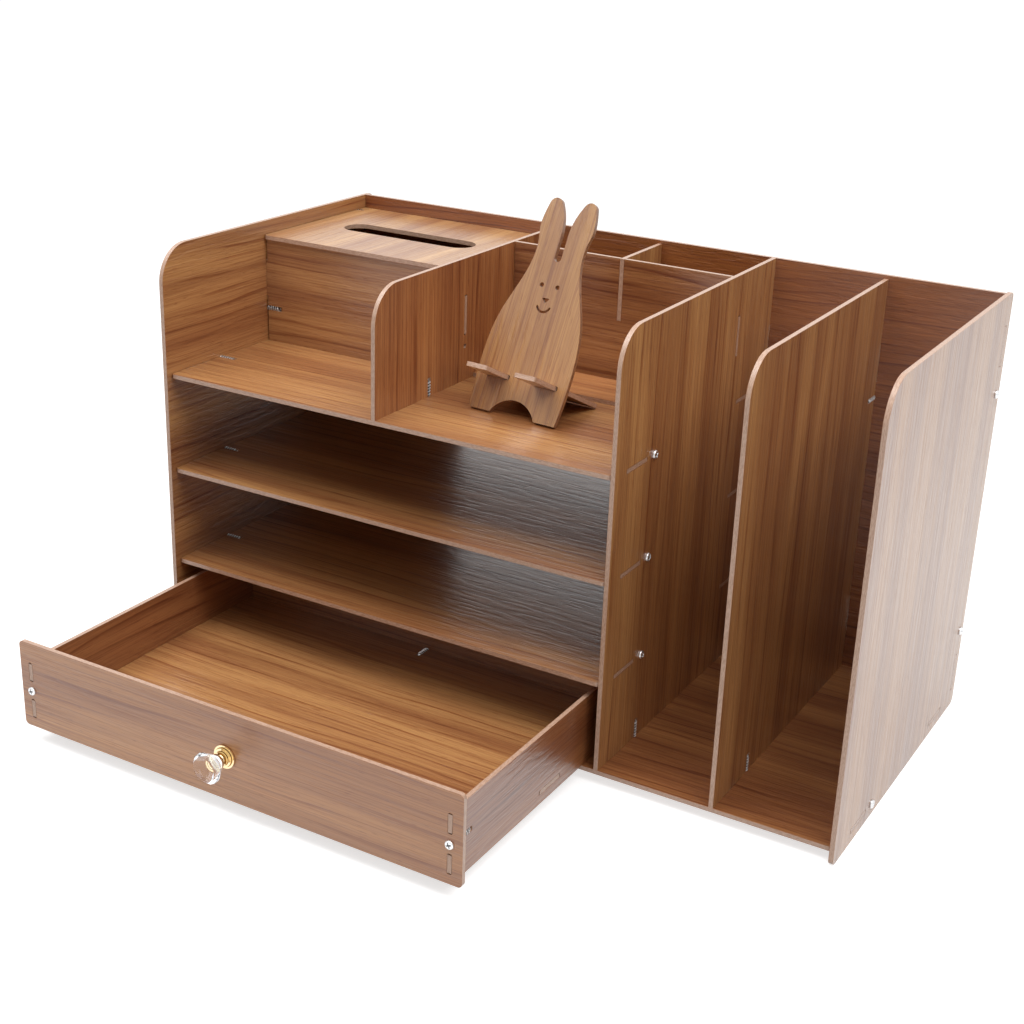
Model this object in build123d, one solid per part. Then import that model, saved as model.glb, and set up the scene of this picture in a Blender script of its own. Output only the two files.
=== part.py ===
from build123d import *
import math
import os

os.makedirs("parts", exist_ok=True)

# Desk organizer of thin laminated boards, in millimetres, +Z up, front towards -Y.
# It is laid out from the case's left front foot, and written about the foot of its back panel.

# Boards and their joints
board = 3.0                   # thickness of every board
slip = 0.2                    # clearance beside a tongue in its slot and round a screw in its hole
slot_ease = 0.9               # a slot is longer than its tongue, at each end
slot_round = 1.3              # round corners that the cutter leaves in a slot
shoulder = 0.25               # gap between a board's end and the face it meets
running = 0.3                 # clearance between pieces that move past each other
tongue = 26.0                 # length of a case tongue
screw_lag = 10.8              # from a tongue's end to the screw beside it
corner_round = 25.0           # large round at the top front corners
small_round = 4.0             # rounds at the side panels' other corners
edge_round = 2.0              # rounds at the corners of shelves and lid

# Self-tapping pan-head screws
screw_dia = 2.9
screw_length = 15.0           # under the head, to the tip
screw_tip = 1.6               # length of the blunt cone
head_dia = 5.6
head_height = 1.7
head_rim = 0.6                # straight rim below the head's dome
head_flat = 2.5               # flat on top of the dome
recess_length = 3.2           # cross recess
recess_width = 0.8
recess_depth = 0.9
slot_spare = 1.0              # screw slot past the screw's tip

# Case
case_depth = 241.5
case_height = 295.5
left_bay = 336.0              # between the left panel and the centre partition
file_bay = 76.0               # each of the two file bays
tissue_bay = 165.2            # between the left panel and the upper divider
rear_overhang = 6.5           # the side panels stand out behind the back panel
front_setback = 4.2           # boards between the side panels stand back from their front edges
foot_height = 7.0             # the side panels stand below the base
drawer_bay = 58.3             # clear height above the base
upper_bay = 87.6              # from the top shelf's face to the case's top
divider_drop = 2.5            # file divider, upper divider and pen box end below the case's top
front_tongue = 20.0           # first tongue's start, behind the side panels' front edges
base_tongue = 29.0            # the same on the base
upper_tongue = 30.0           # the same under the upper divider
rear_inset = 23.0             # last tongue's end, in front of the back panel
top_inset = 21.5              # upper rear tongue's end, below the case's top
foot_inset = 13.5             # lower rear tongue's start, above the desk
back_screw_lag = 19.0         # from a rear tongue's end to the side panel's screw beside it
partition_foot = 38.0         # partitions' lower rear tongue's start, above the desk
partition_screw_drop = 83.5   # screws from the back panel into the partitions, below the case's top
window_width = 152.0          # opening in the back panel, behind the shelves
window_margin = 10.0          # from the opening to the lower shelf's face and the top shelf's underside
window_round = 8.0

# Tissue box
lid_front = 106.8             # lid's front edge, behind the side panels' front edges
lid_overhang = 2.4            # lid stands out before the tissue box front
lid_drop = 9.8                # lid's top, below the case's top
lid_gap = 0.6                 # between the lid's edges and the boards beside it
lid_slot_length = 109.0
lid_slot_width = 24.0
pivot_inset = 9.6             # pivot screws, before the lid's rear edge
pivot_slack = 0.3             # clearance round a pivot screw in the lid's slot
pivot_length = 8.0            # pivot screws, under the head
lid_swing_gap = 0.4           # between the lid's rear edge and the back panel
box_tongue_drop = 28.5        # tissue and pen box tongues' top end, below the case's top
box_screw_drop = 63.2         # tissue box screws, below the case's top
box_shoulder = 1.0            # gap at the ends of the tissue box front

# Pen box and the strip before it
pen_front = 173.7             # pen box front, behind the side panels' front edges
pen_lap = 43.0                # depth of the lap that the pen divider drops into
strip_front = 122.0
strip_depth = 43.0

# Drawer
drawer_open = 150.5           # how far the drawer stands open
drawer_length = 222.5         # front face to rear face
drawer_gap = 1.2              # drawer front's ends to the boards beside it
drawer_inset = 7.0            # drawer sides stand in from the drawer front's ends
drawer_front_height = 60.0
drawer_round = 3.0            # rounds at the drawer front's corners
drawer_side_height = 48.0
drawer_floor_lift = 6.5       # drawer bottom's underside, above the sides' lower edges
drawer_tongue = 11.8
drawer_tongue_low = 7.2       # lower tongue's start, above the sides' lower edges
drawer_tongue_high = 33.4     # upper tongue's start
drawer_screw_lift = 26.0      # screws, above the sides' lower edges
drawer_screw_length = 20.0    # screws from the drawer front, whose tips show beside it
floor_tongue = 24.0           # tongue at the middle of the drawer bottom's edges

# Knob
rosette_dia = 15.2
rosette_rim = 1.4             # thickness of each of the rosette's steps
rosette_step = 1.6            # narrowing from step to step
neck_dia = 6.2
neck_length = 2.8
collar_dia = 9.6
collar_length = 1.6
glue_line = 0.05              # between the collar and the crystal
crystal_dia = 21.4            # across the corners
crystal_corner = 0.06         # depth of the narrow flats on the corners, a share of the radius
crystal_table = 15.5          # flat front, across
crystal_crown = 3.0           # front bevels, along the axis
crystal_back = 8.2            # tapered back, along the axis
crystal_sides = 8
knob_screw_dia = 4.0
knob_head_dia = 8.0
knob_head_height = 2.4
knob_thread_depth = 6.0       # screw's grip inside the rosette and neck

# Phone stand
stand_x = 238.7               # middle of its foot line, from the case's left side
stand_y = 58.9                # and behind the side panels' front edges
stand_yaw = -4.8              # turned a little, as it was put down
stand_lean = 26.4             # front plate leans back
stand_height = 144.3          # along the plate
foot_half = 33.0              # half widths and heights of the outline
hip_half = 34.8
hip_height = 26.0
waist_half = 31.1
waist_height = 64.0
brow_half = 18.0
brow_height = 105.5
ear_half = 19.5
ear_height = 121.5
ear_tip_half = 13.0           # middle of the ear's round tip
ear_tip_round = 4.8
ear_tip_start = 15.0          # degrees where the tip's arc starts on the outer side
ear_tip_sweep = 135.0
ear_gap_half = 2.6
ear_gap_height = 103.2
ear_root_height = 120.0       # the gap between the ears is straight up to here
arch_half = 17.2
arch_height = 10.4
rest_height = 23.9            # rests, along the plate
rest_inner = 10.5             # rest's inner and outer ends, from the middle
rest_outer = 26.5
rest_play = 1.3               # rest's slot past its ends
rest_reach = 27.0             # rests stand out before the plate
support_half = 31.0
eye_dia = 3.2
eye_spread = 6.0              # eyes, from the middle
eye_height = 87.0
nose_half = 3.2
nose_height = 79.0            # nose's top edge
nose_depth = 3.6
nose_round = 0.6
smile_radius = 5.2
smile_width = 1.6
smile_sweep = 130.0           # degrees of arc
smile_height = 75.0           # arc's centre

# Places that follow from the sizes
partition_x = board + left_bay
divider_x = partition_x + board + file_bay
right_x = divider_x + board + file_bay
case_width = right_x + board
upper_x = board + tissue_bay
back_y = case_depth - rear_overhang - board
base_top = foot_height + board
lower_z = base_top + drawer_bay
top_face = case_height - upper_bay
top_z = top_face - board
middle_z = (lower_z + top_z) / 2
divider_top = case_height - divider_drop
lid_top = case_height - lid_drop
lid_bottom = lid_top - board
tissue_y = lid_front + lid_overhang
pivot_y = back_y - lid_swing_gap - pivot_inset
box_tongue_z = (case_height - box_tongue_drop - tongue, case_height - box_tongue_drop)
rear_tongue_y = (back_y - rear_inset - tongue, back_y - rear_inset)
rear_tongues_z = [(foot_inset, foot_inset + tongue),
                  (case_height - top_inset - tongue, case_height - top_inset)]
partition_screw_z = case_height - partition_screw_drop
partition_tongues_z = [(partition_foot, partition_foot + tongue),
                       (partition_screw_z + screw_lag, partition_screw_z + screw_lag + tongue)]
X, Y, Z = 0, 1, 2
on_base = (Align.CENTER, Align.CENTER, Align.MIN)

parts = {}
screws = {}


def block(*spans):
    """Box between a low and a high value on each axis."""
    size = [high - low for low, high in spans]
    return Pos(*[low for low, high in spans]) * Box(*size, align=(Align.MIN, Align.MIN, Align.MIN))


def grow(span, by):
    return (span[0] - by, span[1] + by)


def around(middle, half):
    return (middle - half, middle + half)


def rounded(solid, axis, corners, radius):
    """Round the board's corners whose edges run along the axis nearest to the given points."""
    edges = [solid.edges().filter_by(axis).sort_by_distance(corner)[0] for corner in corners]
    return fillet(edges, radius)


def join(name, into, spans, axis):
    """Give a board a tongue, and the board that it passes through along the axis its slot."""
    parts[name] += block(*spans)
    sizes = [0 if i == axis else high - low for i, (low, high) in enumerate(spans)]
    room = [slip, slip, slip]
    room[axis] = board
    room[sizes.index(max(sizes))] = slot_ease
    slot = block(*[grow(span, by) for span, by in zip(spans, room)])
    parts[into] -= fillet(slot.edges().filter_by([Axis.X, Axis.Y, Axis.Z][axis]), slot_round)


def pan_screw(length):
    """Screw on +Z: the head's underside at 0, its dome above, the shank and its cone below."""
    shank = screw_dia / 2
    head = head_dia / 2
    rim = Polyline((0, -length), (shank, screw_tip - length), (shank, 0), (head, 0), (head, head_rim))
    dome = TangentArc(rim @ 1, (head_flat / 2, head_height), tangent=(0, 1))
    axis = Polyline(dome @ 1, (0, head_height), (0, -length))
    profile = make_face(rim + dome + axis)
    recess = [(recess_length, recess_width), (recess_width, recess_length)]
    blades = [Pos(0, 0, head_height) * Box(x, y, 2 * recess_depth) for x, y in recess]
    return revolve(Plane.XZ * profile, Axis.Z) - blades


def drive(group, through, into, point, axis, outward, flat, slack=slip, length=screw_length):
    """Drive a screw along an axis from a board's face, at the point, into the edge of the next board.

    outward is the side that the head is on, and flat the axis across the second board, whose screw
    slot is cut right through and left open at its edge.
    """
    direction = [0, 0, 0]
    direction[axis] = outward
    place = Plane(origin=point, z_dir=direction)
    parts[through] -= place * Cylinder(screw_dia / 2 + slack, 2 * board)
    deep = point[axis] - outward * (length + slot_spare)
    start = point[axis] - outward * board
    spans = [around(value, screw_dia / 2 + slack) for value in point]
    spans[axis] = tuple(sorted((deep, start)))
    spans[flat] = around(point[flat], board)
    parts[into] -= block(*spans)
    screws.setdefault(group, []).append(place * pan_screw(length))


def side_board(x, y, z):
    """Upright board along the depth, with a large round at its top front corner."""
    return rounded(block((x, x + board), y, z), Axis.X, [(x, y[0], z[1])], corner_round)


def shelf_board(x, y, z):
    """Level board with its two front corners rounded."""
    shelf = block(grow(x, -shoulder), y, (z, z + board))
    corners = [(x[0], y[0], z), (x[1], y[0], z)]
    return rounded(shelf, Axis.Z, corners, edge_round)


def back_board():
    """Back panel between the side panels, with its round-cornered opening behind the shelves."""
    panel = block((board + shoulder, right_x - shoulder), (back_y, back_y + board), (0, case_height))
    wide = around(board + left_bay / 2, window_width / 2)
    high = (lower_z + board + window_margin, top_z - window_margin)
    opening = block(wide, grow((back_y, back_y + board), board), high)
    corners = [(x, back_y, z) for x in wide for z in high]
    return panel - rounded(opening, Axis.Y, corners, window_round)


def end_joints(name, z, ends, start):
    """Two tongues and a screw at each end of a level board. Each end: board, face, side, screws."""
    for into, face, side, group in ends:
        reach = sorted((face - side * shoulder, face + side * board))
        for y in [(start, start + tongue), rear_tongue_y]:
            join(name, into, (tuple(reach), y, (z, z + board)), X)
        spot = (face + side * board, start + tongue + screw_lag, z + board / 2)
        drive(group, into, name, spot, X, side, Z)


def build_case():
    """Side panels, back, base, partitions and shelves."""
    depth = (0, case_depth)
    inner = (front_setback, back_y)
    for name, x in [("left_side_panel", 0), ("right_side_panel", right_x)]:
        panel = side_board(x, depth, (0, case_height))
        others = [(x, 0, 0), (x, case_depth, 0), (x, case_depth, case_height)]
        parts[name] = rounded(panel, Axis.X, others, small_round)
    parts["back_panel"] = back_board()
    parts["base_panel"] = shelf_board((board, right_x), inner, foot_height)
    shelves = [("lower_shelf", lower_z), ("middle_shelf", middle_z), ("top_shelf", top_z)]
    for name, z in shelves:
        parts[name] = shelf_board((board, partition_x), inner, z)
    parts["centre_partition"] = side_board(partition_x, inner, (base_top, case_height))
    parts["file_divider"] = side_board(divider_x, inner, (base_top, divider_top))
    parts["upper_divider"] = side_board(upper_x, inner, (top_face, divider_top))

    left = ("left_side_panel", board, -1, "left_panel_screws")
    for name, z in shelves:
        end_joints(name, z, [left, ("centre_partition", partition_x, 1, "partition_screws")], front_tongue)
    right = ("right_side_panel", right_x, 1, "right_panel_screws")
    end_joints("base_panel", foot_height, [left, right], base_tongue)

    feet = [("centre_partition", "base_panel", partition_x, front_tongue, foot_height),
            ("file_divider", "base_panel", divider_x, front_tongue, foot_height),
            ("upper_divider", "top_shelf", upper_x, upper_tongue, top_z)]
    for name, into, x, start, z in feet:
        for y in [(start, start + tongue), rear_tongue_y]:
            join(name, into, ((x, x + board), y, (z, z + board)), Z)
        spot = (x + board / 2, start + tongue + screw_lag, z)
        drive("underside_screws", into, name, spot, Z, -1, X)

    for into, face, side, group in [left, right]:
        reach = tuple(sorted((face - side * shoulder, face + side * board)))
        for z in rear_tongues_z:
            join("back_panel", into, (reach, (back_y, back_y + board), z), X)
        low, high = rear_tongues_z
        for z in [low[1] + back_screw_lag, high[0] - back_screw_lag]:
            drive(group, into, "back_panel", (face + side * board, back_y + board / 2, z), X, side, Y)

    for name, x in [("centre_partition", partition_x), ("file_divider", divider_x)]:
        for z in partition_tongues_z:
            join(name, "back_panel", ((x, x + board), (back_y, back_y + board), z), Y)
        spot = (x + board / 2, back_y + board, partition_screw_z)
        drive("back_panel_screws", "back_panel", name, spot, Y, 1, X)


def build_tissue_box():
    """Front wall, and the lid with its long slot and its two pivot screws."""
    wall_y = (tissue_y, tissue_y + board)
    bay = (board, upper_x)
    parts["tissue_box_front"] = block(grow(bay, -box_shoulder), wall_y, (top_face, lid_bottom - running))
    for into, face, side in [("left_side_panel", board, -1), ("upper_divider", upper_x, 1)]:
        reach = tuple(sorted((face - side * box_shoulder, face + side * board)))
        join("tissue_box_front", into, (reach, wall_y, box_tongue_z), X)
    left_spot = (0, tissue_y + board / 2, case_height - box_screw_drop)
    drive("left_panel_screws", "left_side_panel", "tissue_box_front", left_spot, X, -1, Y)
    spare = Cylinder(screw_dia / 2 + slip, 2 * board)
    parts["upper_divider"] -= Pos(upper_x + board / 2, left_spot[1], left_spot[2]) * Rot(0, 90, 0) * spare

    lid = block(grow(bay, -lid_gap), (lid_front, back_y - lid_swing_gap), (lid_bottom, lid_top))
    lid = rounded(lid, Axis.Z, [(x, lid_front, lid_bottom) for x in bay], edge_round)
    middle = (sum(bay) / 2, (lid_front + back_y) / 2, lid_bottom)
    opening = extrude(SlotOverall(lid_slot_length, lid_slot_width), 2 * board, both=True)
    parts["tissue_lid"] = lid - Pos(*middle) * opening
    height = lid_bottom + board / 2
    for through, face, side in [("left_side_panel", 0, -1), ("upper_divider", upper_x + board, 1)]:
        spot = (face, pivot_y, height)
        drive("lid_pivot_screws", through, "tissue_lid", spot, X, side, Z, pivot_slack, pivot_length)


def build_pen_box():
    """Front wall, the divider dropped into its lap, and the strip before the box."""
    bay = (upper_x + board, partition_x)
    wall_y = (pen_front, pen_front + board)
    parts["pen_box_front"] = block(grow(bay, -shoulder), wall_y, (top_face, divider_top))
    for into, face, side in [("upper_divider", bay[0], -1), ("centre_partition", bay[1], 1)]:
        reach = tuple(sorted((face - side * shoulder, face + side * board)))
        join("pen_box_front", into, (reach, wall_y, box_tongue_z), X)
    middle = around(sum(bay) / 2, board / 2)
    lap_z = divider_top - pen_lap
    divider = block(middle, (pen_front + board + slip, back_y), (top_face, divider_top))
    divider += block(middle, (pen_front, back_y), (lap_z + shoulder, divider_top))
    parts["pen_box_divider"] = divider
    parts["pen_box_front"] -= block(grow(middle, slip), grow(wall_y, board), (lap_z, case_height))
    parts["stand_stop_strip"] = block(grow(bay, -shoulder), (strip_front, strip_front + strip_depth),
                                      (top_face, top_face + board))


def build_drawer():
    """Drawer box, drawn open, with its front standing out round it."""
    front_y = front_setback - running - board - drawer_open
    box_y = front_y + board
    rear_y = front_y + drawer_length - board
    low = base_top + running
    ends = (board + drawer_gap, partition_x - drawer_gap)
    front = block(ends, (front_y, box_y), (low, low + drawer_front_height))
    corners = [(x, front_y, z) for x in ends for z in (low, low + drawer_front_height)]
    parts["drawer_front"] = rounded(front, Axis.Y, corners, drawer_round)
    walls = [("drawer_left_side", ends[0] + drawer_inset, -1),
             ("drawer_right_side", ends[1] - drawer_inset - board, 1)]
    inside = (walls[0][1] + board, walls[1][1])
    floor_z = (low + drawer_floor_lift, low + drawer_floor_lift + board)
    side_z = (low, low + drawer_side_height)
    starts = (low + drawer_tongue_low, low + drawer_tongue_high)
    tongues_z = [(start, start + drawer_tongue) for start in starts]
    screw_z = low + drawer_screw_lift
    parts["drawer_bottom"] = block(grow(inside, -shoulder), (box_y, rear_y), floor_z)
    parts["drawer_back"] = block(grow(inside, -shoulder), (rear_y, rear_y + board), side_z)
    mid_y = around((box_y + rear_y) / 2, floor_tongue / 2)
    for name, x, side in walls:
        parts[name] = block((x, x + board), (box_y, rear_y + board + shoulder), side_z)
        for z in tongues_z:
            join(name, "drawer_front", ((x, x + board), (front_y, box_y), z), Y)
        spot = (x + board / 2, front_y, screw_z)
        drive("drawer_screws", "drawer_front", name, spot, Y, -1, X, length=drawer_screw_length)
        face = x if side < 0 else x + board
        reach = (x, x + board + shoulder) if side < 0 else (x - shoulder, x + board)
        join("drawer_bottom", name, (reach, mid_y, floor_z), X)
        for z in tongues_z:
            join("drawer_back", name, (reach, (rear_y, rear_y + board), z), X)
        drive("drawer_screws", name, "drawer_back", (face, rear_y + board / 2, screw_z), X, side, Y)
    spot = (sum(inside) / 2, rear_y + board, floor_z[0] + board / 2)
    drive("drawer_screws", "drawer_back", "drawer_bottom", spot, Y, 1, Z)
    build_knob(Plane(origin=(sum(ends) / 2, front_y, low + drawer_front_height / 2), z_dir=(0, -1, 0)))


def build_knob(place):
    """Stepped rosette with its neck and collar, the cut crystal before it, and the screw behind."""
    radius = rosette_dia / 2
    neck_z = 3 * rosette_rim
    collar_z = neck_z + neck_length
    seat_z = collar_z + collar_length
    steps = [(0, 0)]
    for i in range(3):
        reach = radius - i * rosette_step
        steps += [(reach, i * rosette_rim), (reach, (i + 1) * rosette_rim)]
    steps += [(neck_dia / 2, neck_z)]
    flare = ThreePointArc((neck_dia / 2, neck_z), (neck_dia / 2 - 0.5, neck_z + neck_length / 2),
                          (neck_dia / 2, collar_z))
    rim = Polyline((neck_dia / 2, collar_z), (collar_dia / 2, collar_z), (collar_dia / 2, seat_z),
                   (0, seat_z), (0, 0))
    rosette = revolve(Plane.XZ * make_face(Polyline(*steps) + flare + rim), Axis.Z)
    bore = Cylinder(knob_screw_dia / 2 + slip, knob_thread_depth + slot_spare, align=on_base)
    parts["knob_rosette"] = place * (rosette - bore)

    parts["knob_crystal"] = place * Pos(0, 0, seat_z + glue_line) * cut_crystal()

    shank = Cylinder(knob_screw_dia / 2, board + knob_thread_depth, align=on_base)
    head = Cylinder(knob_head_dia / 2, knob_head_height, align=(Align.CENTER, Align.CENTER, Align.MAX))
    head = fillet(head.edges().group_by(Axis.Z)[0], knob_head_height / 3)
    parts["knob_screw"] = place * Pos(0, 0, -board) * (shank + head)
    hole = Cylinder(knob_screw_dia / 2 + slip, 4 * board)
    parts["drawer_front"] -= place * hole


def cut_crystal():
    """Gem cut on +Z from its seat at 0: a tapered back, a short crown and a wide flat table.

    The back and the crown are rings of flats, with a narrower flat cut on each corner between them.
    """
    depth = crystal_back + crystal_crown
    half = 180 / crystal_sides
    corner = crystal_dia / 2
    flat = corner * math.cos(math.radians(half))
    blunt = 1 / math.cos(math.radians(half)) - crystal_corner
    rings = [(collar_dia / 2, 0, flat, crystal_back, 0),
             (flat, crystal_back, crystal_table / 2, depth, 0),
             (collar_dia / 2 * blunt, 0, flat * blunt, crystal_back, half),
             (flat * blunt, crystal_back, crystal_table / 2 * blunt, depth, half)]
    gem = Cylinder(crystal_dia, depth, align=on_base)
    for low_r, low_z, high_r, high_z, turn in rings:
        for i in range(crystal_sides):
            angle = math.radians(2 * half * i + turn)
            across = Vector(math.cos(angle), math.sin(angle), 0)
            normal = across * (high_z - low_z) + Vector(0, 0, low_r - high_r)
            origin = across * low_r + Vector(0, 0, low_z)
            gem = split(gem, Plane(origin=origin, z_dir=normal), keep=Keep.BOTTOM)
    return gem


def stand_face():
    """Outline of the eared front plate, its foot line on Y = 0."""
    side = Spline((foot_half, 0), (hip_half, hip_height), (waist_half, waist_height),
                  (brow_half, brow_height), (ear_half, ear_height))
    tip_middle = (ear_tip_half, stand_height - ear_tip_round)
    tip = CenterArc(tip_middle, ear_tip_round, ear_tip_start, ear_tip_sweep)
    ear = Spline(side @ 1, tip @ 0, tangents=(side % 1, tip % 0))
    flank = Spline(tip @ 1, (ear_gap_half, ear_root_height), tangents=(tip % 1, (0, -1)))
    gap = Line(flank @ 1, (ear_gap_half, ear_gap_height + ear_gap_half))
    root = TangentArc(gap @ 1, (0, ear_gap_height), tangent=(0, -1))
    axis = Polyline((0, ear_gap_height), (0, 0), (foot_half, 0))
    half = make_face(side + ear + tip + flank + gap + root + axis)
    face = half + mirror(half, about=Plane.YZ)
    arch_radius = (arch_half ** 2 + arch_height ** 2) / (2 * arch_height)
    face -= Pos(0, arch_height - arch_radius) * Circle(arch_radius)
    for sign in (-1, 1):
        face -= Pos(sign * eye_spread, eye_height) * Circle(eye_dia / 2)
    nose_tip = (0, nose_height - nose_depth)
    nose = Polygon((-nose_half, nose_height), (nose_half, nose_height), nose_tip, align=None)
    face -= fillet(nose.vertices(), nose_round)
    smile = CenterArc((0, smile_height), smile_radius, 270 - smile_sweep / 2, smile_sweep)
    return face - SlotArc(smile, smile_width)


def build_stand():
    """Loose phone stand: the front plate leans back on its square support, which carries two rests."""
    lean = math.radians(stand_lean)
    yaw = math.radians(stand_yaw)
    across = Vector(math.cos(yaw), math.sin(yaw), 0)
    ahead = Vector(math.sin(yaw), -math.cos(yaw), 0) * math.cos(lean) + Vector(0, 0, math.sin(lean))
    foot = (stand_x, stand_y, top_face + running + board * math.sin(lean))
    place = Plane(origin=foot, x_dir=across, z_dir=ahead)
    plate = extrude(stand_face(), -board)
    rest_h = around(rest_height, board / 2)
    rear = rest_h[0] / math.tan(lean) + board
    support = block(around(0, support_half), rest_h, (-rear, -board - slip))
    for sign in (-1, 1):
        rest = tuple(sorted((sign * rest_inner, sign * rest_outer)))
        finger = block(rest, rest_h, (-rear, rest_reach))
        support += rounded(finger, Axis.Y, [(x, rest_height, rest_reach) for x in rest], board / 2)
        slot = block(grow(rest, rest_play), grow(rest_h, slip), (-2 * board, board))
        plate -= fillet(slot.edges().filter_by(Axis.Z), slot_round)
    parts["phone_stand_front"] = place * plate
    parts["phone_stand_support"] = place * support


build_case()
build_tissue_box()
build_pen_box()
build_drawer()
build_stand()
for group, solids in screws.items():
    parts[group] = Compound(children=solids)

shift = Pos(-case_width / 2, -(back_y + board / 2), 0)
for name, solid in parts.items():
    export_step(shift * solid, f"parts/{name}.step")
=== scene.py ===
"""Looks of the desk organizer with drawer: its boards, screws and knob, and a stage."""

import math

import bpy
import numpy as np
from mathutils import Matrix


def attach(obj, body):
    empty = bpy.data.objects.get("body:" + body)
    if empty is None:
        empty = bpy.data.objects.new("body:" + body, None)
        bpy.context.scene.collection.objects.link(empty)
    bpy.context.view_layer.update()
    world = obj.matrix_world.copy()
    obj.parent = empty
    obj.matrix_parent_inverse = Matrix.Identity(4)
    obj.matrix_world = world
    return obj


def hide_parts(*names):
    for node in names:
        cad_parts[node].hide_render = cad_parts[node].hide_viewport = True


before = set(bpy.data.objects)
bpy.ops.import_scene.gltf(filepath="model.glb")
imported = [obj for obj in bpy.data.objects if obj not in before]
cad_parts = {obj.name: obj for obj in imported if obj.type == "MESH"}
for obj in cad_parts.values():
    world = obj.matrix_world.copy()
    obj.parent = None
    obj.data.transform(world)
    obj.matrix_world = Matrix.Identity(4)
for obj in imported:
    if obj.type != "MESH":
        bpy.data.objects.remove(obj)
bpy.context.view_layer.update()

bl_info = {
    "name": "Desk organizer finishes",
    "version": (1, 0, 0),
    "blender": (4, 5, 0),
    "location": "View3D > Sidebar > Organizer",
    "description": "Dresses the desk organizer's boards, screws and knob, and sets its stage",
    "category": "Object",
}

MM = 1000  # millimetres in a metre
ALONG_X, ALONG_Y, UPRIGHT = np.eye(3)
SMOOTH = {"interpolation_type": "SMOOTHSTEP"}

# Printed figures: spacing of the dark rings in millimetres, how many rings they wander sideways,
# how strongly the rings and the fine fibre are drawn, and the tint that multiplies the browns.
FIGURES = {
    "plain": (9.0, 3.0, 0.9, 0.5, "#EBE3DC"),
    "pale": (11.0, 2.0, 0.45, 0.4, "#F6F8F7"),
    "calm": (11.0, 2.5, 0.85, 0.55, "#F1DFD4"),
    "soft": (11.0, 2.5, 0.7, 0.6, "#DBD5C3"),
    "straight": (12.0, 2.0, 0.9, 0.6, "#F0EAE3"),
    "russet": (12.0, 2.0, 1.0, 0.7, "#E1C9BC"),
    "faint": (12.0, 2.0, 0.15, 0.2, "#DACFD0"),
    "deep": (9.0, 4.0, 1.0, 0.55, "#D3C0B5"),
    "dark": (9.0, 4.0, 1.0, 0.5, "#BFA49D"),
    "wild": (6.0, 4.5, 1.0, 0.45, "#B9957D"),
}
# Noises in the print: length along the grain and width across it in millimetres, detail, roughness.
PATTERNS = {
    "drift": (260, 38, 2.0, 0.45),
    "clouds": (520, 26, 4.0, 0.55),
    "ring_fade": (130, 11, 2.0, 0.55),
    "fine_ring_fade": (90, 6, 1.0, 0.55),
    "fibre": (90, 0.9, 2.0, 0.55),
    "pores": (9, 0.6, 0.0, 0.55),
    "pressed": (30, 4.0, 2.0, 0.55),
}
PRINT_SHIFT = np.array((631.0, 173.0, 0.0))  # millimetres from one board's print to the next one's
DEPTH_SCALE = 0.83  # spots of a noise in a millimetre through a board
FINE_RINGS = 0.37  # spacing of the fine rings, as a share of the main ones'
RING_START, RING_CREST = 0.66, 0.95  # where in its width a ring starts to darken and is darkest
FUZZ = (2.6, 2.6, 0.5)  # millimetres of a fibre in a raw edge: along, across and through the board
CREASE = math.radians(38)  # sharper edges of the screws stay sharp
TURN_START, TURN_STEP = 20.0, 137.5  # degrees that the first screw and each next one are turned
HORIZON, ZENITH = 0.25, 0.8  # heights in the sky between which its light grows

# Each board with the way its printed grain runs, and its figure.
CASE_BOARDS = {
    "left_side_panel": (ALONG_Y, "plain"), "right_side_panel": (UPRIGHT, "faint"),
    "back_panel": (ALONG_X, "wild"), "base_panel": (ALONG_X, "deep"),
    "centre_partition": (UPRIGHT, "straight"), "file_divider": (UPRIGHT, "straight"),
    "lower_shelf": (ALONG_X, "plain"), "middle_shelf": (ALONG_X, "plain"),
    "top_shelf": (ALONG_X, "plain"), "upper_divider": (UPRIGHT, "russet"),
    "tissue_box_front": (ALONG_X, "plain"), "pen_box_front": (ALONG_X, "deep"),
    "pen_box_divider": (UPRIGHT, "straight"), "stand_stop_strip": (ALONG_X, "calm"),
}
DRAWER_BOARDS = {
    "drawer_front": (ALONG_X, "calm"), "drawer_left_side": (ALONG_Y, "dark"),
    "drawer_right_side": (ALONG_Y, "dark"), "drawer_back": (ALONG_X, "plain"),
    "drawer_bottom": (ALONG_X, "plain"),
}
LID_BOARDS = {"tissue_lid": (ALONG_Y, "pale")}
STAND_BOARDS = {"phone_stand_front": (UPRIGHT, "soft")}
REST_BOARDS = {"phone_stand_support": (ALONG_Y, "pale")}
SCREW_GROUPS = {
    "left_panel_screws": "case", "right_panel_screws": "case", "partition_screws": "case",
    "back_panel_screws": "case", "underside_screws": "case", "lid_pivot_screws": "case",
    "drawer_screws": "drawer",
}


def linear(code):
    """sRGB hex to linear light: the curve of the sRGB standard on each channel."""
    channels = np.array([int(code[i:i + 2], 16) for i in (1, 3, 5)]) / 255
    curve = ((channels + 0.055) / 1.055) ** 2.4
    return tuple(np.where(channels <= 0.04045, channels / 12.92, curve).tolist())


def colour(name, code, about):
    return bpy.props.FloatVectorProperty(name=name, description=about, subtype="COLOR", size=3,
                                         min=0, max=1, default=linear(code))


def length(name, metres, about):
    return bpy.props.FloatProperty(name=name, description=about, default=metres, unit="LENGTH",
                                   precision=5)


def spot(name, metres, about):
    return bpy.props.FloatVectorProperty(name=name, description=about, default=metres,
                                         subtype="XYZ", unit="LENGTH")


def angle(name, degrees, about):
    return bpy.props.FloatProperty(name=name, description=about, default=math.radians(degrees),
                                   subtype="ANGLE")


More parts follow.
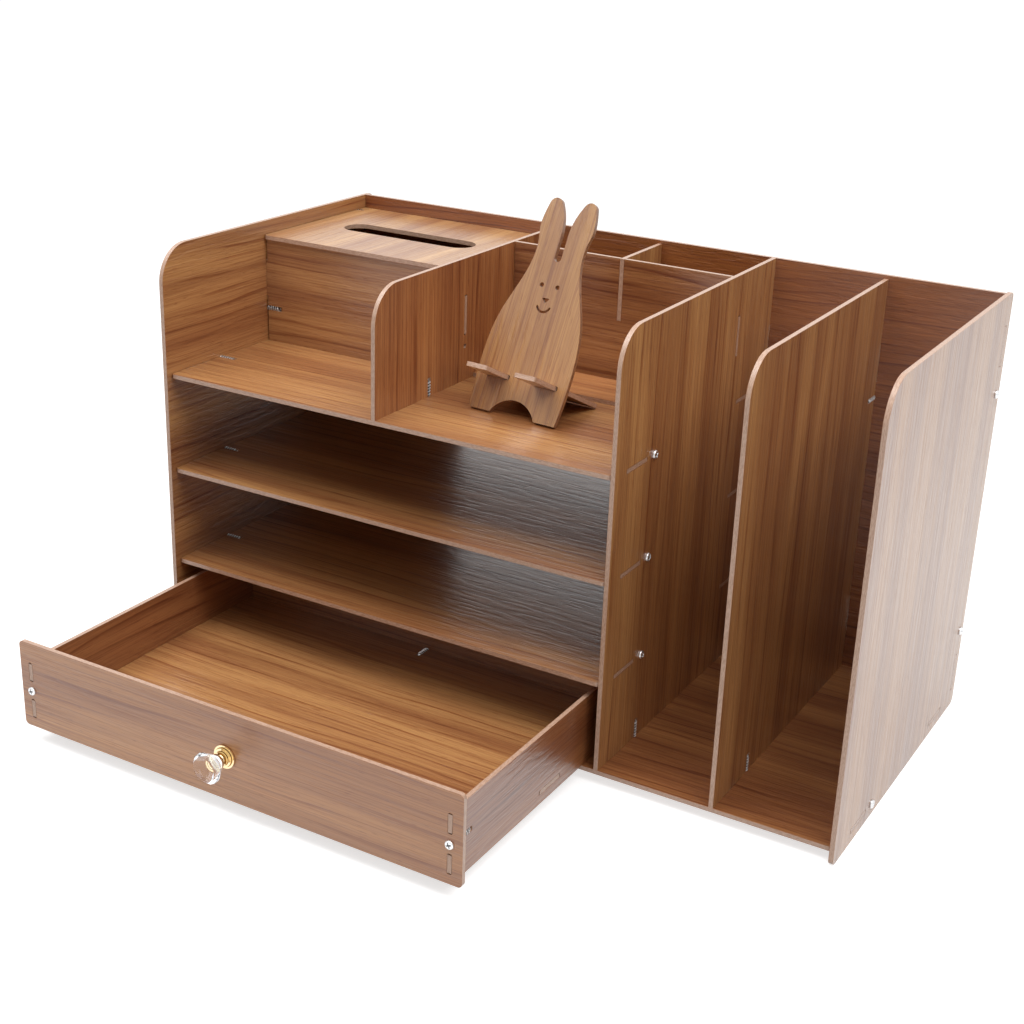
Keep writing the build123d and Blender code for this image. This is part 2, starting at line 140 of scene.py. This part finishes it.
class LaminateSettings(bpy.types.PropertyGroup):
    """The printed walnut film and the fibreboard under it."""

    light: colour("Light wood", "#D09F67", "Pale parts of the print")
    mid: colour("Warm wood", "#A16D44", "Deeper parts of the print")
    line: colour("Grain lines", "#C09C88", "Filter that the dark rings and pores lay over the wood")
    core: colour("Fibreboard", "#BC9A84", "Raw cut edges")
    core_shade: colour("Fibreboard shade", "#A58068", "Darker fibres in the raw edges")
    # Partly laser browning, partly painted shade: a darker brown for every raw edge of the stand's
    # front plate.
    burnt_and_shaded: colour("Burnt edge", "#734F38", "Edges browned by a laser cutter")
    film: length("Film", 0.00015, "Thickness of the film seen along a raw edge")


class ScrewSettings(bpy.types.PropertyGroup):
    """Self-tapping pan-head screws."""

    zinc: colour("Zinc", "#F2F4F6", "Bright zinc plating")
    # Partly real dust, partly painted shade: the dark brown laid into the thread's foot and the
    # cross recess.
    dust_and_shade: colour("Dust", "#3C2A1D", "Dust caught at the foot of the thread and in the cross")
    pitch: length("Pitch", 0.0020, "Advance of the thread in one turn")
    core: length("Core", 0.0015, "Diameter at the foot of the thread")
    bite: length("Bite", 0.0008, "How far the thread stands out of the hole that it cuts")
    tip: length("Tip", 0.0015, "Length of the point")
    rim: length("Rim", 0.0006, "Straight rim below the dome")
    head: length("Head height", 0.0017, "Height of the pan head")
    flat: length("Flat", 0.0025, "Diameter of the flat on the dome")
    arm: length("Cross", 0.0032, "Length of the cross recess")
    blade: length("Blade", 0.0008, "Width of the cross recess")
    depth: length("Recess depth", 0.0009, "Depth of the cross recess")


class KnobSettings(bpy.types.PropertyGroup):
    """Gilt rosette and cut crystal."""

    gilt: colour("Gilt", "#F6E6C4", "Gold-plated brass")
    gilt_shade: colour("Gilt shade", "#E9CE98", "Gold where the plating is hazy")
    # Painted shade: the dark brown laid into the corners of the rosette's steps.
    step_corner_shade: colour("Groove", "#94662B", "Tarnish in the corners of the turned steps")
    tread: length("Tread", 0.0016, "Width of each of the rosette's steps")
    riser: length("Riser", 0.0014, "Height of each of the rosette's steps")
    crystal: colour("Crystal", "#FAFCFF", "Tint of the clear crystal")


class StageSettings(bpy.types.PropertyGroup):
    """Floor, lamps and camera."""

    floor: colour("Floor", "#C3C3C3", "Pale floor")
    reach: length("Reach", 20.0, "How far the floor goes to each side")
    veil: bpy.props.FloatProperty(name="Veil", description="Level of the floor's white veil",
                                  default=0.68, min=0, max=1)
    ambient: bpy.props.FloatProperty(name="Ambient", description="Level of the light from above",
                                     default=0.9, min=0, max=1)
    key: bpy.props.FloatProperty(name="Soft box", description="Power of each soft lamp",
                                 default=13.2, min=0, subtype="POWER")
    box: length("Soft box size", 1.0, "Side of each soft lamp")
    box_left: spot("Left soft box", (-0.55, -0.45, 1.45), "Where the left lamp hangs")
    box_right: spot("Right soft box", (0.75, -0.4, 1.4), "Where the right lamp hangs")
    aim: spot("Aim", (0.0, -0.1, 0.1), "What both lamps point at")
    place: spot("Camera place", (0.48022, -1.02950, 0.54286), "Where the camera stands")
    azimuth: angle("Azimuth", 29.72, "Turn of the camera round the object")
    elevation: angle("Elevation", 22.04, "Tilt of the view down")
    roll: angle("Roll", 2.04, "Turn of the picture")
    lens: bpy.props.FloatProperty(name="Lens", description="Focal length on a 36 mm sensor",
                                  default=57.10, subtype="DISTANCE_CAMERA")


class OrganizerSettings(bpy.types.PropertyGroup):
    """All finishes of the organizer."""

    laminate: bpy.props.PointerProperty(type=LaminateSettings, name="Laminate",
                                        description="Board finish")
    screw: bpy.props.PointerProperty(type=ScrewSettings, name="Screws",
                                     description="Screw sizes and finish")
    knob: bpy.props.PointerProperty(type=KnobSettings, name="Knob", description="Knob finish")
    stage: bpy.props.PointerProperty(type=StageSettings, name="Stage",
                                     description="Floor, lamps and camera")


def add(tree, kind, inputs=(), out=None, **settings):
    """Adds a node with its settings and links, and gives its named output or the first in use.

    The inputs go in order to those in use, or by name; a socket is linked, anything else is set.
    """
    made = tree.nodes.new("ShaderNode" + kind)
    for key, value in settings.items():
        setattr(made, key, value)
    if isinstance(inputs, dict):
        filled = [(made.inputs[name], value) for name, value in inputs.items()]
    else:
        filled = list(zip((socket for socket in made.inputs if socket.enabled), inputs))
    for socket, value in filled:
        if isinstance(value, bpy.types.NodeSocket):
            tree.links.new(value, socket)
        else:
            socket.default_value = value
    if out:
        return made.outputs[out]
    return next((socket for socket in made.outputs if socket.enabled), None)


def new_material(name):
    """An empty material and its node tree."""
    made = bpy.data.materials.new(name)
    made.use_nodes = True
    made.node_tree.nodes.clear()
    return made, made.node_tree


def dress(piece, material):
    piece.data.materials.clear()
    piece.data.materials.append(material)


def corners(piece):
    """Every vertex of a piece as an array."""
    found = np.empty(len(piece.data.vertices) * 3)
    piece.data.vertices.foreach_get("co", found)
    return found.reshape(-1, 3)


def thickness(piece):
    """The direction through a board: the axis that most of its faces, by area, point along."""
    count = len(piece.data.polygons)
    normals, areas = np.empty(count * 3), np.empty(count)
    piece.data.polygons.foreach_get("normal", normals)
    piece.data.polygons.foreach_get("area", areas)
    normals = normals.reshape(-1, 3)
    spread = (normals * areas[:, None]).T @ normals
    return np.linalg.eigh(spread)[1][:, -1]


def laminate(piece, grain, figure, number, edge, edge_shade):
    """Walnut-print melamine film on both faces of a 3 mm fibreboard.

    Gives the eye a calm brown with sparse dark rings that wander, fade and return, a satin gloss
    broken by pressed grain, and raw fibreboard on every cut edge and slot wall with the film as a
    hairline.
    """
    look = bpy.context.scene.organizer.laminate
    apart, wander, strength, fine, tint = FIGURES[figure]
    through = thickness(piece)
    grain = grain - through * (grain @ through)
    grain /= np.linalg.norm(grain)
    across = np.cross(through, grain)
    material, tree = new_material("walnut_laminate_" + piece.name)

    # Millimetres along the grain, across it and through the board, moved on for each board.
    at = add(tree, "TexCoord", out="Object")
    along_mm, across_mm, through_mm = (
        add(tree, "VectorMath", (at, tuple(MM * axis)), operation="DOT_PRODUCT")
        for axis in (grain, across, through))
    flat = add(tree, "CombineXYZ", (along_mm, across_mm, through_mm))
    flat = add(tree, "VectorMath", (flat, tuple(number * PRINT_SHIFT)), operation="ADD")

    def noise(name):
        """One of the print's noises, new every millimetre or so through the board."""
        long, wide, detail, roughness = PATTERNS[name]
        scaled = add(tree, "VectorMath", (flat, (1 / long, 1 / wide, DEPTH_SCALE)),
                     operation="MULTIPLY")
        return add(tree, "TexNoise", {"Vector": scaled, "Scale": 1.0, "Detail": detail,
                                      "Roughness": roughness})

    def rings(spacing):
        """Rings spacing millimetres wide: each darkens slowly, then ends in a sharp edge."""
        even = add(tree, "Math", (across_mm, 1 / spacing), operation="MULTIPLY")
        moved = add(tree, "Math", (drift, wander * apart / spacing), operation="MULTIPLY")
        step = add(tree, "Math", (even, moved), operation="ADD")
        step = add(tree, "Math", (step,), operation="FRACT")
        rise = add(tree, "MapRange", (step, RING_START, RING_CREST), **SMOOTH)
        fall = add(tree, "MapRange", (step, RING_CREST, 1.0, 1.0, 0.0), **SMOOTH)
        return add(tree, "Math", (rise, fall), operation="MULTIPLY")

    drift, fibre, pores = noise("drift"), noise("fibre"), noise("pores")
    light, mid = ((*np.multiply(linear(tint), shade), 1) for shade in (look.light, look.mid))
    cloud = add(tree, "MapRange", (noise("clouds"), 0.28, 0.72), **SMOOTH)
    fade = add(tree, "MapRange", (noise("ring_fade"), 0.40, 0.64, 0.05, strength), **SMOOTH)
    fine_fade = add(tree, "MapRange", (noise("fine_ring_fade"), 0.44, 0.64, 0.0, 0.45 * strength),
                    **SMOOTH)
    lines = (add(tree, "Math", (rings(apart), fade), operation="MULTIPLY"),
             add(tree, "Math", (rings(FINE_RINGS * apart), fine_fade), operation="MULTIPLY"),
             add(tree, "MapRange", (fibre, 0.40, 0.72, 0.0, fine), **SMOOTH),
             add(tree, "MapRange", (pores, 0.66, 0.80, 0.0, 0.5), **SMOOTH))
    tone = add(tree, "Mix", (cloud, light, mid), data_type="RGBA")
    for drawn in lines:
        tone = add(tree, "Mix", (drawn, tone, (*look.line, 1)), data_type="RGBA",
                   blend_type="MULTIPLY")

    # Raw fibreboard: short fibres in the board, the film as a dark hairline beside both faces.
    fuzz = add(tree, "VectorMath", (flat, tuple(1 / size for size in FUZZ)), operation="MULTIPLY")
    fuzz = add(tree, "TexNoise", {"Vector": fuzz, "Scale": 1.0, "Detail": 3.0})
    shaded = add(tree, "MapRange", (fuzz, 0.35, 0.7), **SMOOTH)
    core = add(tree, "Mix", (shaded, (*edge, 1), (*edge_shade, 1)), data_type="RGBA")
    span = corners(piece) @ through * MM
    half = float(np.ptp(span)) / 2
    depth = add(tree, "Math", (through_mm, float(span.min()) + half), operation="SUBTRACT")
    depth = add(tree, "Math", (depth,), operation="ABSOLUTE")
    film = MM * look.film
    hairline = add(tree, "MapRange", (depth, half - 1.4 * film, half - 0.5 * film, 0.0, 0.8),
                   **SMOOTH)
    core = add(tree, "Mix", (hairline, core, (*look.mid, 1)), data_type="RGBA")

    facing = add(tree, "VectorMath", (add(tree, "TexCoord", out="Normal"), tuple(through)),
                 operation="DOT_PRODUCT")
    facing = add(tree, "Math", (facing,), operation="ABSOLUTE")
    face = add(tree, "MapRange", (facing, 0.70, 0.80), **SMOOTH)
    shown = add(tree, "Mix", (face, core, tone), data_type="RGBA")

    satin = add(tree, "MapRange", (fibre, 0.3, 0.75, 0.30, 0.46), **SMOOTH)
    sheen = add(tree, "Mix", (face, 0.55, satin))
    pressed = add(tree, "MapRange", (noise("pressed"), 0.46, 0.60), **SMOOTH)
    pits = add(tree, "MapRange", (pores, 0.6, 0.75, 0.0, 0.3), **SMOOTH)
    relief = add(tree, "Math", (pressed, pits), operation="ADD")
    relief = add(tree, "Mix", (face, fuzz, relief))
    bump = add(tree, "Bump", {"Strength": 0.5, "Distance": 0.0002, "Height": relief}, invert=True)
    shader = add(tree, "BsdfPrincipled", {
        "Base Color": shown, "Roughness": sheen, "IOR": 1.55, "Coat Weight": 0.75,
        "Coat Roughness": 0.26, "Coat IOR": 1.5, "Normal": bump, "Coat Normal": bump})
    add(tree, "OutputMaterial", (shader,))
    return material


def dress_boards(boards, edge, edge_shade, first):
    """Lays the print on a group of boards; the first one's number says which part of the print."""
    for number, (name, (grain, figure)) in enumerate(boards.items(), first):
        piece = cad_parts[name]
        dress(piece, laminate(piece, grain, figure, number, edge, edge_shade))


def zinc_steel():
    """Zinc-plated steel, rolled thread and stamped head.

    Gives the eye a mirror with cloudy spangle, and a dark brown at the thread's foot and in the
    cross that is partly dust and partly painted shade.
    """
    look = bpy.context.scene.organizer.screw
    material, tree = new_material("zinc_plated_steel")
    at = add(tree, "TexCoord", out="Object")
    cloud = add(tree, "TexNoise", {"Vector": at, "Scale": MM / 0.9, "Detail": 2.0})
    grit = add(tree, "TexNoise", {"Vector": at, "Scale": MM / 0.15, "Detail": 1.0})
    dull = add(tree, "MapRange", (cloud, 0.3, 0.7, 0.26, 0.42))
    cloudy = (*(0.85 * channel for channel in look.zinc), 1)
    shade = add(tree, "Mix", (cloud, (*look.zinc, 1), cloudy), data_type="RGBA")
    foot = add(tree, "Attribute", out="Fac", attribute_name="thread_foot")
    # Painted shade and dust: the thread's foot and the cross recess turn dark brown and lose their
    # metal.
    shade = add(tree, "Mix", (foot, shade, (*look.dust_and_shade, 1)), data_type="RGBA")
    metal = add(tree, "Math", (1.0, foot), operation="SUBTRACT")
    bump = add(tree, "Bump", {"Strength": 0.12, "Distance": 0.00002, "Height": grit})
    shader = add(tree, "BsdfPrincipled", {"Base Color": shade, "Metallic": metal,
                                          "Roughness": dull, "Normal": bump})
    add(tree, "OutputMaterial", (shader,))
    return material


def gilt_brass(piece):
    """Turned brass with gold plating, polished.

    Gives the eye a warm mirror with a little haze, fine rings left by the lathe, and painted shade
    colouring the inner corner of each step dark brown.
    """
    look = bpy.context.scene.organizer.knob
    points = corners(piece)
    middle = (points.min(0) + points.max(0)) / 2
    foot = (middle[0], points[:, 1].max(), middle[2])
    radius = float(np.ptp(points[:, 0])) / 2
    material, tree = new_material("gilt_brass")
    at = add(tree, "TexCoord", out="Object")
    haze = add(tree, "TexNoise", {"Vector": at, "Scale": MM / 2.5, "Detail": 3.0})
    lathe = add(tree, "VectorMath", (at, (0, MM / 0.35, 0)), operation="MULTIPLY")
    lathe = add(tree, "TexNoise", {"Vector": lathe, "Scale": 1.0, "Detail": 1.0})
    dull = add(tree, "MapRange", (haze, 0.3, 0.7, 0.05, 0.14))
    shade = add(tree, "Mix", (haze, (*look.gilt, 1), (*look.gilt_shade, 1)), data_type="RGBA")

    # How far in from the rim and how far out from the board a point lies, in steps of the stair.
    from_foot = add(tree, "VectorMath", (at, foot), operation="SUBTRACT")
    level = add(tree, "VectorMath", (from_foot, (1, 0, 1)), operation="MULTIPLY")
    reach = add(tree, "VectorMath", (level,), operation="LENGTH")
    inward = add(tree, "MapRange", (reach, radius, radius - look.tread), clamp=False)
    inward = add(tree, "Math", (inward,), operation="FRACT")
    outward = add(tree, "SeparateXYZ", (from_foot,), out="Y")
    outward = add(tree, "MapRange", (outward, 0.0, -look.riser), clamp=False)
    outward = add(tree, "Math", (outward,), operation="FRACT")
    # Painted shade in the corners of the steps: darker towards the inner end of each tread and the
    # foot of each riser.
    on_tread = add(tree, "MapRange", (inward, 0.62, 0.88), **SMOOTH)
    on_riser = add(tree, "MapRange", (outward, 0.1, 0.4, 1.0, 0.0), **SMOOTH)
    facing = add(tree, "SeparateXYZ", (add(tree, "TexCoord", out="Normal"),), out="Y")
    facing = add(tree, "Math", (facing,), operation="ABSOLUTE")
    facing = add(tree, "MapRange", (facing, 0.6, 0.8), **SMOOTH)
    painted_corner_shade = add(tree, "Mix", (facing, on_riser, on_tread))
    shade = add(tree, "Mix", (painted_corner_shade, shade, (*look.step_corner_shade, 1)), data_type="RGBA")

    bump = add(tree, "Bump", {"Strength": 0.15, "Distance": 0.00003, "Height": lathe})
    shader = add(tree, "BsdfPrincipled", {"Base Color": shade, "Metallic": 1.0,
                                          "Roughness": dull, "Normal": bump})
    add(tree, "OutputMaterial", (shader,))
    return material


def cut_crystal():
    """Clear pressed crystal with polished facets: bright edges, a little ripple from the mould.

    The facets of the real one let the board show through nearly unbent, so its IOR lies below
    glass's 1.5.
    """
    look = bpy.context.scene.organizer.knob
    material, tree = new_material("clear_crystal")
    at = add(tree, "TexCoord", out="Object")
    ripple = add(tree, "TexNoise", {"Vector": at, "Scale": MM / 6, "Detail": 1.0})
    dull = add(tree, "MapRange", (ripple, 0.35, 0.7, 0.0, 0.03))
    bump = add(tree, "Bump", {"Strength": 0.08, "Distance": 0.0003, "Height": ripple})
    shader = add(tree, "BsdfPrincipled", {
        "Base Color": (*look.crystal, 1), "Roughness": dull, "IOR": 1.25,
        "Transmission Weight": 1.0, "Normal": bump})
    add(tree, "OutputMaterial", (shader,))
    return material


def screw_rings(under, thread, head, look, sides=36):
    """Rings of a screw round its axis, tip first, as stations by angles by three metres.

    With them comes how much dark dust and painted shade lies on each point, from none on the
    thread's crest and the head's dome to 1 at the thread's foot and nearly as much in the cross.

    Thread: the radius is the core plus a ridge along a helix that rises one pitch a turn, flat on
    its crest and falling evenly to both sides, times a cone at the tip. Head: flat below, straight
    rim, quarter ellipse up to the flat, where the height drops inside a cross, the larger of two
    bars crossing at the middle.
    """
    gap = 0.0001  # between the thread's rings and both its ends
    flank = 0.17  # share of the pitch that the crest and each flank take
    pole = 0.00006  # radius of the innermost ring
    wall = 0.00012  # width of the cross's sloping walls
    turn = np.linspace(0, 2 * np.pi, sides, endpoint=False)
    z = np.linspace(gap - under, -gap, 96)[:, None]
    phase = (z / look.pitch - turn / (2 * np.pi)) % 1
    ridge = np.clip(1.5 - np.abs(phase - 0.5) / flank, 0, 1)
    radius = look.core / 2 + (thread - look.core / 2) * ridge
    radius *= np.clip((z + under) / look.tip, 0, 1)
    lift = np.broadcast_to(z, radius.shape)

    bend = np.linspace(0, np.pi / 2, 9)
    bulge = np.stack((look.flat / 2 + (head - look.flat / 2) * np.cos(bend),
                      look.rim + (look.head - look.rim) * np.sin(bend)), 1)
    seat = np.array(((look.core / 2, 0), (head * 0.97, 0), (head, look.rim * 0.15),
                     (head, look.rim * 0.9)))
    inward = np.linspace(look.flat / 2, pole, 16)[1:]
    top = np.stack((inward, np.full(len(inward), look.head)), 1)
    outline = np.vstack((seat, bulge, top))
    head_radius = np.broadcast_to(outline[:, :1], (len(outline), sides))
    head_lift = np.broadcast_to(outline[:, 1:], head_radius.shape)
    x, y = head_radius * np.cos(turn), head_radius * np.sin(turn)

    def bar(a, b):
        return (np.clip((look.arm / 2 - np.abs(a)) / wall, 0, 1)
                * np.clip((look.blade / 2 - np.abs(b)) / wall + 0.5, 0, 1))

    cross = np.maximum(bar(x, y), bar(y, x)) * (head_lift > look.rim)
    radius = np.vstack((radius, head_radius))
    lift = np.vstack((lift, head_lift - look.depth * cross))
    # Painted shade and dust: 1 at the thread's foot, 0.85 in the cross recess.
    dust_and_shade = np.vstack((1 - ridge, 0.85 * cross))
    return np.stack((radius * np.cos(turn), radius * np.sin(turn), lift), 2), dust_and_shade


def ring_faces(stations, sides):
    """Quads between neighbouring rings, and a fan of triangles to the pole beyond each end ring."""
    station, side = np.meshgrid(np.arange(stations - 1), np.arange(sides), indexing="ij")
    here, after = station * sides + side, station * sides + (side + 1) % sides
    quads = np.stack((here, after, after + sides, here + sides), 2).reshape(-1, 4)
    ring, last = np.arange(sides), (stations - 1) * sides
    following = np.roll(ring, -1)
    first_pole = np.full(sides, stations * sides)
    fans = np.vstack((np.stack((following, ring, first_pole), 1),
                      np.stack((last + ring, last + following, first_pole + 1), 1)))
    return quads, fans


def closed(rings):
    """The rings' points in a row, then a pole at the middle of the first and of the last ring."""
    poles = np.stack((rings[0].mean(0), rings[-1].mean(0)))
    return np.vstack((rings.reshape(-1, 3), poles))


def build_mesh(name, points, quads, fans):
    mesh = bpy.data.meshes.new(name)
    mesh.from_pydata(points.tolist(), [], quads.tolist() + fans.tolist())
    mesh.validate()
    mesh.shade_smooth()
    mesh.set_sharp_from_angle(angle=CREASE)
    piece = bpy.data.objects.new(name, mesh)
    bpy.context.scene.collection.objects.link(piece)
    return piece


def screws_of(points):
    """Splits the points of a group into its screws.

    Gives each screw's points; its axis, along the longest side of its box and towards its wide
    end; its centre; and the points' distances from the axis.
    """
    longest = 0.03  # a screw is shorter than this, and any two stand further apart
    rest = points
    while len(rest):
        near = np.linalg.norm(rest - rest[0], axis=1) < longest
        one, rest = rest[near], rest[~near]
        axis = np.eye(3)[np.ptp(one, axis=0).argmax()]
        centre = (one.min(0) + one.max(0)) / 2
        offset = one - centre
        radial = np.linalg.norm(offset - np.outer(offset @ axis, axis), axis=1)
        widest = offset[radial.argmax()] @ axis
        yield one, axis * (1 if widest > 0 else -1), centre, radial


def build_screws(group, body, steel):
    """Every screw of a group as one piece: the same surface on each screw's axis, turned on."""
    look = bpy.context.scene.organizer.screw
    bite = 0 if group == "lid_pivot_screws" else look.bite  # the lid turns freely on its pivots
    off_axis = 0.0005  # points nearer to the axis belong to a tip or a recess, not to a shank
    points, dust_and_shade_marks, quads, fans = [], [], [], []
    for number, (one, axis, centre, radial) in enumerate(screws_of(corners(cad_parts[group]))):
        height = (one - centre) @ axis
        head_foot = height.max() - look.head
        under = head_foot - height.min()
        shank = np.median(radial[(height < head_foot - look.tip / 2) & (radial > off_axis)])
        rings, dust_and_shade = screw_rings(under, shank + bite, radial.max(), look)
        side = np.roll(np.abs(axis), 1)
        turn = math.radians(TURN_STEP * number + TURN_START)
        first = math.cos(turn) * side + math.sin(turn) * np.cross(axis, side)
        basis = np.stack((first, np.cross(axis, first), axis))
        ring_quads, ring_fans = ring_faces(*rings.shape[:2])
        start = sum(len(done) for done in points)
        points.append(closed(rings) @ basis + centre + axis * head_foot)
        dust_and_shade_marks.append(np.append(dust_and_shade, (0, 0)))
        quads.append(ring_quads + start)
        fans.append(ring_fans + start)
    piece = build_mesh("threaded_" + group, np.vstack(points), np.vstack(quads), np.vstack(fans))
    marks = piece.data.attributes.new("thread_foot", "FLOAT", "POINT")
    marks.data.foreach_set("value", np.concatenate(dust_and_shade_marks))
    dress(piece, steel)
    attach(piece, body)
    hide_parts(group)


class ORGANIZER_OT_case_boards(bpy.types.Operator):
    """Dress the boards of the case in walnut laminate"""

    bl_idname = "organizer.case_boards"
    bl_label = "Case boards"

    def execute(self, context):
        look = context.scene.organizer.laminate
        dress_boards(CASE_BOARDS, look.core, look.core_shade, first=1)
        return {"FINISHED"}


class ORGANIZER_OT_drawer_boards(bpy.types.Operator):
    """Dress the drawer's boards in walnut laminate"""

    bl_idname = "organizer.drawer_boards"
    bl_label = "Drawer boards"

    def execute(self, context):
        look = context.scene.organizer.laminate
        dress_boards(DRAWER_BOARDS, look.core, look.core_shade, first=21)
        return {"FINISHED"}


class ORGANIZER_OT_tissue_lid(bpy.types.Operator):
    """Dress the tissue lid in walnut laminate"""

    bl_idname = "organizer.tissue_lid"
    bl_label = "Tissue lid"

    def execute(self, context):
        look = context.scene.organizer.laminate
        dress_boards(LID_BOARDS, look.core, look.core_shade, first=31)
        return {"FINISHED"}


class ORGANIZER_OT_phone_stand(bpy.types.Operator):
    """Dress the phone stand's two plates in walnut laminate"""

    bl_idname = "organizer.phone_stand"
    bl_label = "Phone stand"

    def execute(self, context):
        look = context.scene.organizer.laminate
        # The front plate's raw edges take the darker brown, partly laser browning and partly
        # painted shade.
        dress_boards(STAND_BOARDS, look.burnt_and_shaded, look.mid, first=41)
        dress_boards(REST_BOARDS, look.core, look.core_shade, first=42)
        return {"FINISHED"}


class ORGANIZER_OT_screws(bpy.types.Operator):
    """Build the threaded screws on the axes of the plain ones"""

    bl_idname = "organizer.screws"
    bl_label = "Screws"

    def execute(self, context):
        steel = zinc_steel()
        for group, body in SCREW_GROUPS.items():
            build_screws(group, body, steel)
        dress(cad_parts["knob_screw"], steel)
        return {"FINISHED"}


class ORGANIZER_OT_knob(bpy.types.Operator):
    """Finish the gilt rosette and the cut crystal"""

    bl_idname = "organizer.knob"
    bl_label = "Knob"

    def execute(self, context):
        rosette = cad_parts["knob_rosette"]
        dress(rosette, gilt_brass(rosette))
        dress(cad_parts["knob_crystal"], cut_crystal())
        return {"FINISHED"}


def seen_rays(tree):
    """1 for rays that show the backdrop: from the camera, off gloss or through glass."""
    camera, gloss, glass = (add(tree, "LightPath", out="Is " + kind + " Ray")
                            for kind in ("Camera", "Glossy", "Transmission"))
    shown = add(tree, "Math", (camera, gloss), operation="MAXIMUM")
    return add(tree, "Math", (shown, glass), operation="MAXIMUM")


def pale_floor():
    """Matt white paper: takes the shadow, with a white veil for the rays that show it."""
    look = bpy.context.scene.organizer.stage
    material, tree = new_material("matt_white_paper")
    at = add(tree, "TexCoord", out="Object")
    tooth = add(tree, "TexNoise", {"Vector": at, "Scale": MM / 1.5, "Detail": 2.0})
    bump = add(tree, "Bump", {"Strength": 0.05, "Distance": 0.0001, "Height": tooth})
    paper = add(tree, "BsdfDiffuse", {"Color": (*look.floor, 1), "Normal": bump})
    veil = add(tree, "Math", (seen_rays(tree), look.veil), operation="MULTIPLY")
    glow = add(tree, "Emission", {"Strength": veil})
    add(tree, "OutputMaterial", (add(tree, "AddShader", (paper, glow)),))
    return material


def placed(right, up, back, place):
    """A matrix whose columns are an object's right, up and back directions and its place."""
    whole = np.eye(4)
    whole[:3] = np.stack((right, up, back, place), 1)
    return Matrix(whole.tolist())


def soft_lamp(name, place):
    """A square soft box at place that faces the stage's aim."""
    look = bpy.context.scene.organizer.stage
    data = bpy.data.lights.new(name, "AREA")
    data.shape = "SQUARE"
    data.size = look.box
    data.energy = look.key
    lamp = bpy.data.objects.new(name, data)
    back = np.subtract(place, look.aim)
    back /= np.linalg.norm(back)
    right = np.cross(ALONG_Y if abs(back[2]) > 0.9 else UPRIGHT, back)
    right /= np.linalg.norm(right)
    lamp.matrix_world = placed(right, np.cross(back, right), back, place)
    bpy.context.scene.collection.objects.link(lamp)


class ORGANIZER_OT_stage(bpy.types.Operator):
    """Set the pale floor, the soft lamps, the white backdrop and the camera"""

    bl_idname = "organizer.stage"
    bl_label = "Stage"

    def execute(self, context):
        look = context.scene.organizer.stage
        context.scene.view_settings.view_transform = "Standard"
        square = np.array(((-1, -1, 0), (1, -1, 0), (1, 1, 0), (-1, 1, 0))) * look.reach
        mesh = bpy.data.meshes.new("floor")
        mesh.from_pydata(square.tolist(), [], [(0, 1, 2, 3)])
        floor = bpy.data.objects.new("floor", mesh)
        context.scene.collection.objects.link(floor)
        dress(floor, pale_floor())

        world = bpy.data.worlds.new("white_room")
        context.scene.world = world
        world.use_nodes = True
        tree = world.node_tree
        tree.nodes.clear()
        # The light from above grows towards the zenith; the rays that show the sky see plain white.
        height = add(tree, "SeparateXYZ", (add(tree, "TexCoord", out="Generated"),), out="Z")
        dome = add(tree, "MapRange", (height, HORIZON, ZENITH, 0.0, look.ambient), **SMOOTH)
        level = add(tree, "Mix", (seen_rays(tree), dome, 1.0))
        sky = add(tree, "Background", {"Color": (1, 1, 1, 1), "Strength": level})
        add(tree, "OutputWorld", (sky,))

        soft_lamp("soft_box_left", look.box_left)
        soft_lamp("soft_box_right", look.box_right)

        east = np.array((math.cos(look.azimuth), math.sin(look.azimuth), 0))
        front = np.array((math.sin(look.azimuth), -math.cos(look.azimuth), 0))
        back = math.cos(look.elevation) * front + math.sin(look.elevation) * UPRIGHT
        level_up = np.cross(back, east)
        right = math.cos(look.roll) * east + math.sin(look.roll) * level_up
        up = math.cos(look.roll) * level_up - math.sin(look.roll) * east
        data = bpy.data.cameras.new("camera")
        data.sensor_width = 36.0
        data.lens = look.lens
        data.clip_start = 0.01
        camera = bpy.data.objects.new("camera", data)
        camera.matrix_world = placed(right, up, back, look.place)
        context.scene.collection.objects.link(camera)
        context.scene.camera = camera
        return {"FINISHED"}


OPERATORS = (ORGANIZER_OT_case_boards, ORGANIZER_OT_drawer_boards, ORGANIZER_OT_tissue_lid,
             ORGANIZER_OT_phone_stand, ORGANIZER_OT_screws, ORGANIZER_OT_knob, ORGANIZER_OT_stage)


class ORGANIZER_PT_finishes(bpy.types.Panel):
    """Lists the organizer's finishing steps"""

    bl_idname = "ORGANIZER_PT_finishes"
    bl_label = "Desk organizer"
    bl_space_type = "VIEW_3D"
    bl_region_type = "UI"
    bl_category = "Organizer"

    def draw(self, context):
        for step in OPERATORS:
            self.layout.operator(step.bl_idname)


CLASSES = (LaminateSettings, ScrewSettings, KnobSettings, StageSettings, OrganizerSettings,
           *OPERATORS, ORGANIZER_PT_finishes)


def register():
    for each in CLASSES:
        bpy.utils.register_class(each)
    bpy.types.Scene.organizer = bpy.props.PointerProperty(type=OrganizerSettings)


def unregister():
    del bpy.types.Scene.organizer
    for each in reversed(CLASSES):
        bpy.utils.unregister_class(each)


def main():
    register()
    bpy.ops.organizer.case_boards()
    bpy.ops.organizer.drawer_boards()
    bpy.ops.organizer.tissue_lid()
    bpy.ops.organizer.phone_stand()
    bpy.ops.organizer.screws()
    bpy.ops.organizer.knob()
    bpy.ops.organizer.stage()


if __name__ == "__main__":
    main()
